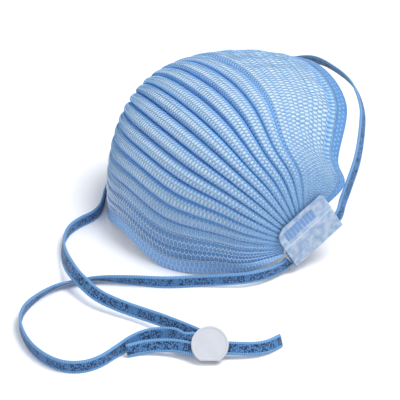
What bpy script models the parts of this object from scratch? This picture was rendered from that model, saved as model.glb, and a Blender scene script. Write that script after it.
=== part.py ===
"""Disposable dust mask: a pleated cup of filter web under plastic netting, worn on one flat strap.

The cup is described in its own wearing frame, in millimetres: x runs from clip to clip, rise runs
from chin to nose, and forward points away from the face. The mask lies on a surface on its chin rim
and strap clips, so that frame is leaned back by LEAN_DEG and lifted until the mask touches z = 0.
"""
import math

import bmesh
import bpy
import numpy as np
from mathutils import Matrix, Vector

MM = 0.001

# How the mask lies, in degrees and millimetres
LEAN_DEG = 31.5
LIFT = 21.23
SHIFT_Y = 6.48

# Cup outline at stations between the middle of the face (0) and the clip (1)
STATIONS = np.array([0.0, 0.3, 0.6, 0.85, 1.0])
HALF_WIDTH = 64.5
NOSE_RISE = np.array([68.0, 61.0, 36.5, 28.0, 11.0])
NOSE_FORWARD = np.array([16.0, 11.0, 7.5, 1.5, 3.0])
CHIN_RISE = np.array([-60.0, -58.0, -41.0, -28.0, -13.5])
CHIN_FORWARD = np.array([21.0, 11.0, 4.5, 0.5, -3.5])
CUP_DEPTH = np.array([37.0, 43.0, 37.0, 25.0, 6.5])
SECTION_CUT = 0.10

# The pleats fan out along fairer lines than the rims, and take up the rims' shape only near them
NOSE_FAIR = np.array([66.0, 58.5, 45.0, 30.5, 11.0])
CHIN_FAIR = np.array([-60.0, -54.0, -43.5, -30.0, -13.5])
RIM_POWER = 4

# Pleats: groove number i lies at FIRST_GROOVE + i * (GROOVE_PITCH + i * PITCH_GROWTH) up the section
GROOVES = 14
FIRST_GROOVE = 0.085
GROOVE_PITCH = 0.040
PITCH_GROWTH = 0.0005
PLEAT_DEPTH = 2.2
ROWS_PER_PLEAT = 3

# Layers, as depth below the outside of the netting and thickness
RIM_BAND = 0.040
RIM_GAP = 0.006
NET_THICKNESS = 0.5
FILTER_DEPTH = 1.2
FILTER_THICKNESS = 0.9
LINER_DEPTH = 4.9
LINER_THICKNESS = 0.6
FLANGE_THICKNESS = 1.6
FLANGE_FLARE = 1.2
FOAM_DEPTH = 6.2
FOAM_THICKNESS = 4.0

# Strap clips: a folded strip whose open tail holds the strap against the cup
CLIP_LENGTH = 30.0
CLIP_RISE = 3.0
CLIP_WALL = 0.9
CLIP_OUTER_X = 65.7
CLIP_INNER_X = 62.3
CLIP_SECTION = ((0, 11.2, 0.74), (0, 10.1, 0.9), (0, 8.1, 1), (0, -11.3, 1), (0.12, -12.9, 1),
                (0.5, -13.7, 1), (0.88, -12.9, 1), (1, -11.3, 1), (1, -5.0, 1))

# Strap
STRAP_WIDTH = 6.0
STRAP_THICKNESS = 1.2
STRAP_STEP = 10.0
STRAP_X = 64.0
STRAP_FORWARD = -8.6
FACE_GAP = 0.6
TUNNEL_END = -13.0
CROWN_ARCH = ((63.5, 20.5, -8.2), (60.6, 25.5, -6.8), (57.0, 33.0, -5.0), (50.0, 46.0, -2.0),
              (40.0, 59.0, 2.0), (31.0, 67.0, 4.5), (17.0, 73.2, 7.0))
CROWN_TOP = (0.0, 74.5, 8.0)

# Clasp: a small housing under a round snap lid, hinged at the flat side of the disc
CLASP_CENTRE = (106.6, -75.1, 5.8)
CLASP_HEADING_DEG = 59.0
CLASP_LEAN_DEG = 40.0
LID_RADIUS = 8.3
LID_CHORD = 7.2
LID_THICKNESS = 1.5
LID_LIFT = 2.7
HOUSING = (10.6, 9.6, 4.8)
HOUSING_RISE = 0.7
STRAP_SLOT = (7.4, 6.6, 3.2)
STRAP_WINDOW = (30.0, 6.6, 1.7)
HINGE_ARM = (3.6, 3.0, 2.4)
ARM_RISE = 1.4
ARM_DROP = 0.9
HINGE_RISE = -5.8
HINGE_DEPTH = 2.0
PIN_RADIUS = 0.6
KNUCKLE_RADIUS = 1.4
PIN_CLEARANCE = 0.3
KNUCKLE_WIDTH = 3.6
LID_KNUCKLE_WIDTH = 2.4
LID_RELIEF = 0.35
CUTTER_LENGTH = 30
BAR_RADIUS = 1.0
BAR_LENGTH = 7.0

lean = math.radians(LEAN_DEG)
RISE_AXIS = Vector((0, math.cos(lean), math.sin(lean)))
FORWARD_AXIS = Vector((0, -math.sin(lean), math.cos(lean)))
UP = Vector((0, 0, 1))

COLOURS = {
    "net": (0.31, 0.50, 0.84, 0.45),
    "web": (0.36, 0.55, 0.86, 0.85),
    "liner": (0.86, 0.88, 0.90, 0.90),
    "flange": (0.16, 0.34, 0.68, 0.60),
    "foam": (0.30, 0.31, 0.34, 0.95),
    "strap": (0.08, 0.25, 0.55, 0.80),
    "clip": (0.62, 0.72, 0.86, 0.40),
    "clasp": (0.80, 0.81, 0.84, 0.45),
}


def clear_scene():
    for item in list(bpy.data.objects):
        bpy.data.objects.remove(item, do_unlink=True)


def new_collection(name):
    group = bpy.data.collections.new(name)
    bpy.context.scene.collection.children.link(group)
    return group


def make_materials():
    made = {}
    for name, (red, green, blue, rough) in COLOURS.items():
        material = bpy.data.materials.new(name)
        material.use_nodes = True
        shader = material.node_tree.nodes["Principled BSDF"]
        shader.inputs["Base Color"].default_value = (red, green, blue, 1)
        shader.inputs["Roughness"].default_value = rough
        shader.inputs["Metallic"].default_value = 0
        made[name] = material
    return made


def add_object(name, mesh_data, group, material):
    mesh = bpy.data.meshes.new(name)
    mesh_data.to_mesh(mesh)
    mesh_data.free()
    item = bpy.data.objects.new(name, mesh)
    group.objects.link(item)
    if material:
        mesh.materials.append(material)
        mesh.shade_smooth()
        mesh.set_sharp_from_angle(angle=math.radians(40))
    return item


def solidify(item, thickness, offset=-1.0):
    wall = item.modifiers.new("Wall", "SOLIDIFY")
    wall.thickness = thickness * MM
    wall.offset = offset


# ---------------------------------------------------------------- frames and curves
def place(x, rise, forward):
    """World point, in metres, of a point given in the mask's wearing frame in millimetres."""
    point = Vector((x, SHIFT_Y, LIFT)) + RISE_AXIS * rise + FORWARD_AXIS * forward
    return point * MM


def on_table(x, y, z):
    return Vector((x, y + SHIFT_Y, z)) * MM


def even_curve(values, s):
    """Smooth curve through the station values, the same on both sides of the middle."""
    where = min(abs(s), 1.0)
    steps = np.diff(STATIONS)
    rises = np.diff(values) / steps
    inner = (steps[1:] * rises[:-1] + steps[:-1] * rises[1:]) / (steps[1:] + steps[:-1])
    slopes = np.concatenate([[0.0], inner, rises[-1:]])
    i = min(int(np.searchsorted(STATIONS, where, side="right")) - 1, len(steps) - 1)
    u = (where - STATIONS[i]) / steps[i]
    start = (1 + 2 * u) * (1 - u) ** 2 * values[i] + u * (1 - u) ** 2 * steps[i] * slopes[i]
    end = u * u * (3 - 2 * u) * values[i + 1] + u * u * (u - 1) * steps[i] * slopes[i + 1]
    return start + end


def cup_point(s, t):
    """Point on the outside of the cup: s from clip to clip, t from chin rim to nose rim."""
    cut = math.pi * SECTION_CUT
    angle = cut + (math.pi - 2 * cut) * t
    bulge = (math.sin(angle) - math.sin(cut)) / (1 - math.sin(cut))
    climb = (math.cos(cut) - math.cos(angle)) / (2 * math.cos(cut))
    chin = even_curve(CHIN_FAIR, s)
    nose = even_curve(NOSE_FAIR, s)
    rise = chin + (nose - chin) * climb
    rise += (even_curve(NOSE_RISE, s) - nose) * climb ** RIM_POWER
    rise += (even_curve(CHIN_RISE, s) - chin) * (1 - climb) ** RIM_POWER
    chin_forward = even_curve(CHIN_FORWARD, s)
    nose_forward = even_curve(NOSE_FORWARD, s)
    forward = chin_forward + (nose_forward - chin_forward) * t + even_curve(CUP_DEPTH, s) * bulge
    return Vector((HALF_WIDTH * math.sin(math.pi / 2 * s), rise, forward))


def cup_normal(s, t):
    small = 1e-3
    low_s = max(s - small, -1.0)
    high_s = min(s + small, 1.0)
    low_t = max(t - small, 0.0)
    high_t = min(t + small, 1.0)
    along = cup_point(high_s, t) - cup_point(low_s, t)
    up = cup_point(s, high_t) - cup_point(s, low_t)
    return along.cross(up).normalized()


def pleat_number(t):
    reach = GROOVE_PITCH ** 2 + 4 * PITCH_GROWTH * max(t - FIRST_GROOVE, 0.0)
    return (math.sqrt(reach) - GROOVE_PITCH) / (2 * PITCH_GROWTH)


def groove_at(i):
    return FIRST_GROOVE + i * (GROOVE_PITCH + i * PITCH_GROWTH)


def pleat_drop(s, t):
    """How far the pleated web dips below the cup's outside."""
    number = pleat_number(t)
    if t < FIRST_GROOVE - 1e-6 or number > GROOVES - 1 + 1e-6:
        return 0.0
    wave = 0.5 + 0.5 * math.cos(2 * math.pi * number)
    towards_chin = 0.45 + 0.55 * min(number / 4, 1.0)
    towards_clip = 1 - 0.6 * abs(s) ** 3
    return PLEAT_DEPTH * wave * towards_chin * towards_clip


def pleated_rows():
    """Heights up the section: a few plain rows at chin and nose, and three rows to each pleat."""
    first = RIM_BAND + RIM_GAP
    last = 1 - first
    pleats = (GROOVES - 1) * ROWS_PER_PLEAT
    rows = [first]
    rows += [groove_at(i / ROWS_PER_PLEAT) for i in range(pleats + 1)]
    rows += [rows[-1] + (last - rows[-1]) * i / 6 for i in range(1, 7)]
    return rows


def even_rows(first, last, count):
    return [first + (last - first) * i / count for i in range(count + 1)]


# ---------------------------------------------------------------- cup
def cup_sheet(name, rows, reach, columns, depth, pleated, group, material):
    """A sheet that follows the cup at a depth below its outside."""
    sheet = bmesh.new()
    count = len(rows) - 1
    bmesh.ops.create_grid(sheet, x_segments=columns, y_segments=count, size=1)
    for vertex in sheet.verts:
        s = vertex.co.x * reach
        t = rows[round((vertex.co.y + 1) / 2 * count)]
        drop = depth + (pleat_drop(s, t) if pleated else 0.0)
        vertex.co = place(*(cup_point(s, t) - cup_normal(s, t) * drop))
    return add_object(name, sheet, group, material)


def make_cup(group, materials):
    first = RIM_BAND + RIM_GAP
    rows = pleated_rows()
    net = cup_sheet("outer_net", rows, 1.0, 20, 0.0, True, group, materials["net"])
    solidify(net, NET_THICKNESS)
    web = cup_sheet("filter_web", rows, 1.0, 20, FILTER_DEPTH, True, group, materials["web"])
    solidify(web, FILTER_THICKNESS)
    liner_rows = even_rows(first + 0.02, 1 - first - 0.02, 16)
    liner = cup_sheet("inner_liner", liner_rows, 0.82, 18, LINER_DEPTH, False, group, materials["liner"])
    solidify(liner, LINER_THICKNESS)


def flange_sheet(name, low, high, group, material):
    """The welded rim band; its free edge flares out from the cup."""
    sheet = bmesh.new()
    bmesh.ops.create_grid(sheet, x_segments=32, y_segments=1, size=1)
    for vertex in sheet.verts:
        s = vertex.co.x
        t = low if vertex.co.y < 0 else high
        free = t in (0.0, 1.0)
        flare = FLANGE_FLARE * (1 - s * s) if free else 0.0
        vertex.co = place(*(cup_point(s, t) + cup_normal(s, t) * flare))
    band = add_object(name, sheet, group, material)
    solidify(band, FLANGE_THICKNESS)


def make_rim(group, materials):
    flange_sheet("chin_flange", 0.0, RIM_BAND, group, materials["flange"])
    flange_sheet("nose_flange", 1 - RIM_BAND, 1.0, group, materials["flange"])
    foam_rows = even_rows(0.86, 0.93, 2)
    foam = cup_sheet("nose_foam", foam_rows, 0.42, 10, FOAM_DEPTH, False, group, materials["foam"])
    solidify(foam, FOAM_THICKNESS)


# ---------------------------------------------------------------- strap clips
def make_clip(name, side, group, material):
    sheet = bmesh.new()
    count = len(CLIP_SECTION) - 1
    bmesh.ops.create_grid(sheet, x_segments=1, y_segments=count, size=1)
    for vertex in sheet.verts:
        inward, forward, share = CLIP_SECTION[round((vertex.co.y + 1) / 2 * count)]
        x = CLIP_OUTER_X + (CLIP_INNER_X - CLIP_OUTER_X) * inward
        rise = CLIP_RISE + vertex.co.x * share * CLIP_LENGTH / 2
        vertex.co = place(side * x, rise, forward)
    clip = add_object(name, sheet, group, material)
    solidify(clip, CLIP_WALL, 0.0)


# ---------------------------------------------------------------- strap
def smooth_route(points, step):
    """Evenly spaced points, headings and leans on a Catmull-Rom curve through the route."""
    route = [np.array(point, float) for point in points]
    route = [2 * route[0] - route[1]] + route + [2 * route[-1] - route[-2]]
    fine = []
    for before, start, end, after in zip(route, route[1:], route[2:], route[3:]):
        for u in np.linspace(0, 1, 24, endpoint=False):
            bend = 2 * start + (end - before) * u
            bend += (2 * before - 5 * start + 4 * end - after) * u * u
            bend += (3 * start - before - 3 * end + after) * u ** 3
            fine.append(bend / 2)
    fine.append(route[-2])
    fine = np.array(fine)
    lengths = np.linalg.norm(np.diff(fine[:, :3], axis=0), axis=1)
    run = np.concatenate([[0.0], np.cumsum(lengths)])
    count = max(2, round(run[-1] / step))
    spots = []
    for at in np.linspace(0, run[-1], count + 1):
        here, ahead, behind = (np.array([np.interp(spot, run, fine[:, k]) for k in range(4)])
                               for spot in (at, at + 0.5, at - 0.5))
        spots.append((Vector(here[:3]), Vector(ahead[:3] - behind[:3]).normalized(), here[3]))
    return spots


def strap_run(name, points, standing, group, material):
    """A flat strap along a route in millimetres; standing is the side its width points to."""
    route = smooth_route(points, STRAP_STEP)
    count = len(route) - 1
    ribbon = bmesh.new()
    bmesh.ops.create_grid(ribbon, x_segments=count, y_segments=1, size=1)
    for vertex in ribbon.verts:
        centre, heading, lean_angle = route[round((vertex.co.x + 1) / 2 * count)]
        upright = (standing - heading * standing.dot(heading)).normalized()
        turn = math.radians(lean_angle)
        across = upright * math.cos(turn) + upright.cross(heading) * math.sin(turn)
        vertex.co = (centre + across * vertex.co.y * STRAP_WIDTH / 2) * MM
    strap = add_object(name, ribbon, group, material)
    solidify(strap, STRAP_THICKNESS, 0.0)


def wearing_route(points):
    return [(*(place(*point) / MM), 0.0) for point in points]


def tunnel_exit(side):
    """Where the strap leaves a clip on the chin side, and a point straight on from there."""
    first = place(side * STRAP_X, TUNNEL_END, STRAP_FORWARD) / MM
    second = place(side * STRAP_X, TUNNEL_END - 4, STRAP_FORWARD) / MM
    return [(*first, 0.0), (*second, 0.0)]


def table_route(points):
    return [(*(on_table(x, y, z) / MM), turn) for x, y, z, turn in points]


def make_crown(group, material):
    """The strap goes in at one clip's chin side, over the crown, and out at the other clip's."""
    inside = [(STRAP_X, TUNNEL_END + FACE_GAP, STRAP_FORWARD), (STRAP_X, 0.0, STRAP_FORWARD)]
    inside += [(STRAP_X, 16.0, STRAP_FORWARD)]
    right = inside + list(CROWN_ARCH)
    left = [(-x, rise, forward) for x, rise, forward in reversed(right)]
    strap_run("crown_strap", wearing_route(right + [CROWN_TOP] + left), FORWARD_AXIS, group, material)


def make_neck_straps(group, material):
    right = tunnel_exit(1) + table_route([
        (65.9, -20.0, 5.2, 0), (65.0, -29.5, 5.2, 0), (60.3, -38.6, 4.4, 0), (53.6, -49.5, 3.5, 0),
        (46.4, -63.8, 3.2, 0), (36.9, -76.6, 3.2, 14), (26.9, -89.2, 2.8, 40), (22.8, -101.0, 2.5, 55),
        (24.0, -114.0, 2.9, 35), (32.6, -130.0, 3.1, 8), (43.4, -138.4, 3.2, 0), (58.6, -142.4, 3.2, 0),
        (72.4, -142.2, 3.2, 0), (83.9, -138.0, 3.2, 0), (89.6, -130.6, 3.2, 3), (90.0, -121.6, 3.2, 6),
        (86.6, -111.5, 3.2, 10), (83.9, -101.8, 3.9, 22), (84.4, -93.2, 4.8, 32), (90.6, -85.4, 6.2, 38)])
    right += [clasp_route(-12.0, 3.1, -1.6), clasp_route(-6.6, 3.0, -0.3)]
    strap_run("neck_strap_right", right, UP, group, material)
    left = tunnel_exit(-1) + table_route([
        (-65.5, -21.0, 3.9, 0), (-62.5, -31.0, 3.2, 0), (-55.5, -41.0, 3.2, 0), (-46.0, -49.0, 3.2, 0),
        (-38.0, -54.5, 3.2, 0), (-31.8, -59.6, 3.2, 0), (-27.6, -66.0, 3.2, 0), (-25.2, -74.0, 3.2, 0),
        (-20.6, -82.2, 3.2, 0), (-11.6, -89.6, 3.3, 6), (3.0, -96.2, 5.0, 26), (21.5, -101.0, 7.7, 50),
        (34.0, -101.2, 7.4, 46), (45.0, -99.6, 6.4, 38), (55.0, -95.0, 5.4, 30), (65.9, -88.8, 4.9, 26),
        (76.0, -84.0, 5.4, 28), (87.0, -79.9, 6.2, 32), (94.4, -77.2, 6.6, 38)])
    left += [clasp_route(-3.6, 4.4, -3.9)]
    strap_run("neck_strap_left", left, UP, group, material)


def make_strap_ends(group, material):
    tail = [clasp_route(5.9, -1.0, 0), clasp_route(10.0, -1.1, -0.2)] + table_route([
        (116.3, -58.6, 4.3, 32), (117.2, -51.5, 3.7, 26), (115.4, -43.4, 3.2, 22)])
    strap_run("strap_tail", tail, UP, group, material)
    fold = table_route([(88.6, -107.4, 3.2, 14), (90.9, -98.3, 3.9, 26), (97.4, -88.9, 5.0, 36)])
    fold += [clasp_route(-8.5, -1.5, 1.6), clasp_route(-6.3, -1.3, 1.7)]
    strap_run("strap_fold_back", fold, UP, group, material)


# ---------------------------------------------------------------- clasp
def clasp_matrix():
    """Clasp frame: x along the strap, y up the disc, z out of the lid."""
    heading = math.radians(CLASP_HEADING_DEG)
    along = Vector((math.cos(heading), math.sin(heading), 0))
    facing = Vector((math.sin(heading), -math.cos(heading), 0))
    tip = math.radians(CLASP_LEAN_DEG)
    out = facing * math.cos(tip) + UP * math.sin(tip)
    up = UP * math.cos(tip) - facing * math.sin(tip)
    turned = Matrix((along, up, out)).transposed().to_4x4()
    return Matrix.Translation(on_table(*CLASP_CENTRE)) @ turned


def clasp_route(along, up, out):
    point = clasp_matrix() @ (Vector((along, up, out)) * MM)
    return (*(point / MM), CLASP_LEAN_DEG)


def block(name, size, centre, group, material=None):
    cube = bmesh.new()
    bmesh.ops.create_cube(cube, size=1)
    bmesh.ops.scale(cube, vec=Vector(size) * MM, verts=cube.verts)
    bmesh.ops.translate(cube, vec=Vector(centre) * MM, verts=cube.verts)
    item = add_object(name, cube, group, material)
    item.matrix_world = clasp_matrix()
    return item


def rod(name, radius, length, up, out, group, material=None, along=0.0, segments=20):
    """A round bar along the strap's direction."""
    bar = bmesh.new()
    bmesh.ops.create_cone(bar, cap_ends=True, segments=segments, radius1=radius * MM,
                          radius2=radius * MM, depth=length * MM)
    turn = Matrix.Rotation(math.pi / 2, 4, "Y")
    bmesh.ops.transform(bar, matrix=Matrix.Translation(Vector((along, up, out)) * MM) @ turn,
                        verts=bar.verts)
    item = add_object(name, bar, group, material)
    item.matrix_world = clasp_matrix()
    return item


def disc(name, radius, thickness, out, group, material):
    plate = bmesh.new()
    bmesh.ops.create_cone(plate, cap_ends=True, segments=56, radius1=radius * MM,
                          radius2=radius * MM, depth=thickness * MM)
    chord = Vector((0, -LID_CHORD, 0)) * MM
    bmesh.ops.bisect_plane(plate, geom=plate.verts[:] + plate.edges[:] + plate.faces[:],
                           plane_co=chord, plane_no=(0, -1, 0), clear_outer=True)
    bmesh.ops.holes_fill(plate, edges=[edge for edge in plate.edges if edge.is_boundary])
    bmesh.ops.translate(plate, vec=Vector((0, 0, out)) * MM, verts=plate.verts)
    item = add_object(name, plate, group, material)
    item.matrix_world = clasp_matrix()
    return item


def combine(item, tool, operation):
    step = item.modifiers.new(operation.title(), "BOOLEAN")
    step.operation = operation
    step.solver = "EXACT"
    step.object = tool
    tool.hide_render = True
    tool.display_type = "WIRE"


def make_clasp_base(group, tools, materials):
    """The housing holds the strap ends; a knuckle at its flat side carries the lid's pin."""
    base = block("clasp_base", HOUSING, (0, HOUSING_RISE, 0), group, materials["clasp"])
    knuckle = rod("base_knuckle", KNUCKLE_RADIUS, KNUCKLE_WIDTH, HINGE_RISE, HINGE_DEPTH, tools)
    arm_centre = (0, HINGE_RISE + ARM_RISE, HINGE_DEPTH - ARM_DROP)
    arm = block("base_arm", HINGE_ARM, arm_centre, tools)
    hole = rod("base_pin_hole", PIN_RADIUS + PIN_CLEARANCE, CUTTER_LENGTH, HINGE_RISE, HINGE_DEPTH, tools)
    slot = block("strap_slot", STRAP_SLOT, (0, 0, 0), tools)
    window = block("strap_window", STRAP_WINDOW, (0, 0, 0), tools)
    combine(base, arm, "UNION")
    combine(base, knuckle, "UNION")
    combine(base, hole, "DIFFERENCE")
    combine(base, slot, "DIFFERENCE")
    combine(base, window, "DIFFERENCE")
    rod("clasp_grip_bar", BAR_RADIUS, BAR_LENGTH, 0, 0, group, materials["clasp"], segments=12)


def make_clasp_lid(group, tools, materials):
    lid = disc("clasp_lid", LID_RADIUS, LID_THICKNESS, LID_LIFT + LID_THICKNESS / 2, group,
               materials["clasp"])
    for side, label in ((-1, "left"), (1, "right")):
        along = side * (KNUCKLE_WIDTH / 2 + PIN_CLEARANCE + LID_KNUCKLE_WIDTH / 2)
        knuckle = rod("lid_knuckle_" + label, KNUCKLE_RADIUS, LID_KNUCKLE_WIDTH, HINGE_RISE,
                      HINGE_DEPTH, tools, along=along)
        combine(lid, knuckle, "UNION")
    hole = rod("lid_pin_hole", PIN_RADIUS + PIN_CLEARANCE, CUTTER_LENGTH, HINGE_RISE, HINGE_DEPTH, tools)
    relief = rod("lid_relief", KNUCKLE_RADIUS + LID_RELIEF, KNUCKLE_WIDTH + 2 * PIN_CLEARANCE,
                 HINGE_RISE, HINGE_DEPTH, tools)
    combine(lid, hole, "DIFFERENCE")
    combine(lid, relief, "DIFFERENCE")
    pin_length = KNUCKLE_WIDTH + 2 * PIN_CLEARANCE + 2 * LID_KNUCKLE_WIDTH
    rod("clasp_hinge_pin", PIN_RADIUS, pin_length, HINGE_RISE, HINGE_DEPTH, group,
        materials["clasp"], segments=16)


def main():
    clear_scene()
    group = new_collection("dust_mask")
    tools = new_collection("cutters")
    materials = make_materials()
    make_cup(group, materials)
    make_rim(group, materials)
    make_clip("strap_clip_right", 1, group, materials["clip"])
    make_clip("strap_clip_left", -1, group, materials["clip"])
    make_crown(group, materials["strap"])
    make_neck_straps(group, materials["strap"])
    make_strap_ends(group, materials["strap"])
    make_clasp_base(group, tools, materials)
    make_clasp_lid(group, tools, materials)


main()
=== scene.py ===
# %% [markdown]
# # A disposable dust mask
# The mask is a moulded cup: a pleated filter web with blue plastic netting over it. Two folded plastic
# clips hold one long flat elastic strap, and a small round clasp gathers the strap's ends. It lies on a
# table on its chin rim, so everything here is measured either in the mask's own wearing directions
# (sideways, up to the nose, forward from the face) or straight on the table.

# %% Load the fixed frame
import math

import bmesh
import bpy
import numpy as np
from mathutils import Matrix, Vector


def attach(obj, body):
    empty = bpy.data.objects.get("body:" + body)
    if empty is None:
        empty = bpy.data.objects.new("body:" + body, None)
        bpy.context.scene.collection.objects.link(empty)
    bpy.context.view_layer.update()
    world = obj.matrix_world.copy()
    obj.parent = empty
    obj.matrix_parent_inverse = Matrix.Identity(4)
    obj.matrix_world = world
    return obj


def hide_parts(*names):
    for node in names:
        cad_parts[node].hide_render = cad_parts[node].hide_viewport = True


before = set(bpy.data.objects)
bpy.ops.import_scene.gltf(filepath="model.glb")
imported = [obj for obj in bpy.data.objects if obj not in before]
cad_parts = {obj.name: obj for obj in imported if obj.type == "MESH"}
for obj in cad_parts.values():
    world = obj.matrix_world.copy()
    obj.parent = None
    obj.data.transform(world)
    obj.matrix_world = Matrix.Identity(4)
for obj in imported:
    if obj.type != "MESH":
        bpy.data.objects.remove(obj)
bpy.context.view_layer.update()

MM = 0.001

# %% [markdown]
# ## Directions
# The mask leans back by about a third of a right angle. A point given as sideways, rise and forward is
# turned once, here, and never again: finished pieces keep their place in their meshes.

# %% The wearing frame
LEAN = math.radians(31.5)
MASK_ORIGIN = np.array([0.0, 6.48, 21.23])
RISE_AXIS = np.array([0.0, math.cos(LEAN), math.sin(LEAN)])
FORWARD_AXIS = np.array([0.0, -math.sin(LEAN), math.cos(LEAN)])
SIDE_AXIS = np.array([1.0, 0.0, 0.0])
WEAR = np.array([SIDE_AXIS, RISE_AXIS, FORWARD_AXIS])


def place(points):
    """Millimetres in the wearing frame to millimetres on the table."""
    return np.asarray(points, float) @ WEAR + MASK_ORIGIN


print("middle of the cup's rim, in mm:", place([0, 0, 0]))

# %% [markdown]
# ## Camera
# A long lens about a metre away keeps the cup's proportions calm, as in a catalogue picture. The camera
# looks from the wearer's left front, a little more than a quarter of the way up.

# %% Camera
VIEW_AZIMUTH = math.radians(59.0)
VIEW_ELEVATION = math.radians(27.6)
VIEW_DISTANCE = 0.9
PICTURE_WIDTH = 0.2
PIVOT_LIFT = 0.010
AIM_SIDE = -0.0164
AIM_UP = -0.0207

to_camera = Vector((math.sin(VIEW_AZIMUTH) * math.cos(VIEW_ELEVATION),
                    -math.cos(VIEW_AZIMUTH) * math.cos(VIEW_ELEVATION), math.sin(VIEW_ELEVATION)))
picture_right = Vector((math.cos(VIEW_AZIMUTH), math.sin(VIEW_AZIMUTH), 0))
picture_up = to_camera.cross(picture_right)
pivot = Vector(MASK_ORIGIN) * MM + Vector((0, 0, PIVOT_LIFT))
camera_data = bpy.data.cameras.new("product_camera")
camera_data.lens = camera_data.sensor_width * VIEW_DISTANCE / PICTURE_WIDTH
camera = bpy.data.objects.new("product_camera", camera_data)
bpy.context.scene.collection.objects.link(camera)
camera.location = pivot + to_camera * VIEW_DISTANCE
aim = pivot + picture_right * AIM_SIDE + picture_up * AIM_UP
camera.rotation_euler = (camera.location - aim).to_track_quat("Z", "Y").to_euler()
bpy.context.scene.camera = camera
bpy.context.scene.view_settings.view_transform = "Standard"
print("lens", round(camera_data.lens), "mm")

# %% [markdown]
# ## Helpers for meshes
# Most pieces start as a flat grid whose corners are then carried onto a curved surface. The grid comes
# from a bmesh operator, and numpy moves all its points at once, which is quick even for fine meshes.


# %% Mesh helpers
def to_object(name, form, smooth=True):
    """Turns a bmesh into a linked object."""
    mesh = bpy.data.meshes.new(name)
    form.to_mesh(mesh)
    form.free()
    piece = bpy.data.objects.new(name, mesh)
    bpy.context.scene.collection.objects.link(piece)
    if smooth:
        mesh.shade_smooth()
    return piece


def grid(name, columns, rows):
    """A flat grid from 0 to 1 both ways, with a UV map of the same numbers."""
    form = bmesh.new()
    bmesh.ops.create_grid(form, x_segments=columns, y_segments=rows, size=0.5, calc_uvs=True)
    bmesh.ops.translate(form, vec=(0.5, 0.5, 0), verts=form.verts)
    return to_object(name, form)


def points_of(piece):
    flat = np.empty(len(piece.data.vertices) * 3, np.float32)
    piece.data.vertices.foreach_get("co", flat)
    return flat.reshape(-1, 3).astype(float)


def move_points(piece, points_mm):
    piece.data.vertices.foreach_set("co", (points_mm * MM).astype(np.float32).ravel())
    piece.data.update()


def set_uv(piece, across, along):
    """UV in millimetres, one pair for each vertex."""
    mesh = piece.data
    layer = mesh.uv_layers.active or mesh.uv_layers.new(name="UVMap")
    corner = np.empty(len(mesh.loops), np.int32)
    mesh.loops.foreach_get("vertex_index", corner)
    both = np.stack([across[corner], along[corner]], axis=1).astype(np.float32)
    layer.data.foreach_set("uv", both.ravel())


def set_attribute(piece, name, values):
    layer = piece.data.attributes.new(name, "FLOAT", "POINT")
    layer.data.foreach_set("value", values.astype(np.float32))


# %% Helpers for walls
def graded_group(piece, name, shares, steps):
    """A vertex group with these shares as weights, rounded to so many steps."""
    group = piece.vertex_groups.new(name=name)
    for step in range(steps + 1):
        chosen = np.flatnonzero(np.rint(shares * steps) == step)
        group.add(chosen.tolist(), step / steps, "REPLACE")


def thicken(piece, thickness, offset=-1.0, shares=None, edge_share=1.0, steps=1):
    """A wall of this many mm, down to edge_share of it where a vertex's share is 0."""
    wall = piece.modifiers.new("Wall", "SOLIDIFY")
    wall.thickness = thickness * MM
    wall.offset = offset
    if shares is not None:
        graded_group(piece, "full", shares, steps)
        wall.vertex_group = "full"
        wall.thickness_vertex_group = edge_share


print("one millimetre is", MM, "in the scene")


# %% [markdown]
# ## Helpers for materials
# Colours are written as they would be picked on a screen, and one function turns them into the linear
# values that a shader works in. One function adds a node with its settings and links. Two more do what
# every finish here needs: lay coats of colour over each other, and stack one fine relief on another.


# %% Material helpers
def hex_colour(code):
    """sRGB hex to linear RGBA."""
    channels = [int(code[i:i + 2], 16) / 255 for i in (1, 3, 5)]
    linear = [c / 12.92 if c <= 0.04045 else ((c + 0.055) / 1.055) ** 2.4 for c in channels]
    return (*linear, 1.0)


def connect(node, inputs):
    """Sets inputs by name or in order: each is a number, a hex colour or another node's output."""
    for key, value in inputs.items() if isinstance(inputs, dict) else enumerate(inputs):
        if isinstance(value, bpy.types.NodeSocket):
            node.id_data.links.new(value, node.inputs[key])
        else:
            node.inputs[key].default_value = hex_colour(value) if isinstance(value, str) else value


def add_node(tree, kind, inputs=(), out=0, **settings):
    """Adds one shader node and gives back one of its outputs."""
    node = tree.nodes.new("ShaderNode" + kind)
    for key, value in settings.items():
        setattr(node, key, value)
    connect(node, inputs)
    return node.outputs[out]


def new_material(name, **shader_values):
    """A material with only its Principled shader and output left in place."""
    material = bpy.data.materials.new(name)
    material.use_nodes = True
    shader = material.node_tree.nodes["Principled BSDF"]
    connect(shader, {key.replace("_", " "): value for key, value in shader_values.items()})
    print("material:", name)
    return material, material.node_tree, shader


def coated(tree, tone, *coats):
    """Lays each coat's colour over a tone, as strongly as its share says."""
    for share, colour in coats:
        tone = add_node(tree, "Mix", {"Factor": share, "A": tone, "B": colour}, "Result", data_type="RGBA")
    return tone


def finish(shader, tone, *reliefs):
    """Gives a shader its colour and its reliefs, coarsest first, as height, strength and depth in mm."""
    connect(shader, {"Base Color": tone})
    below = {}
    for height, strength, depth_mm in reliefs:
        bump = add_node(shader.id_data, "Bump", {"Height": height, "Strength": strength,
                                                 "Distance": depth_mm * MM, **below})
        below = {"Normal": bump}
    connect(shader, below)
    print("nodes:", len(shader.id_data.nodes))


# %% [markdown]
# ## Strap material
# The strap is flat braided elastic: polyester yarns plaited round rubber threads. Its edges show short
# bars where each yarn turns back, and a darker broken figure is woven into the middle. The figure here
# is nothing but random flecks. The pattern follows the strap, so it reads the strap's own UV map, in
# millimetres.

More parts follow.
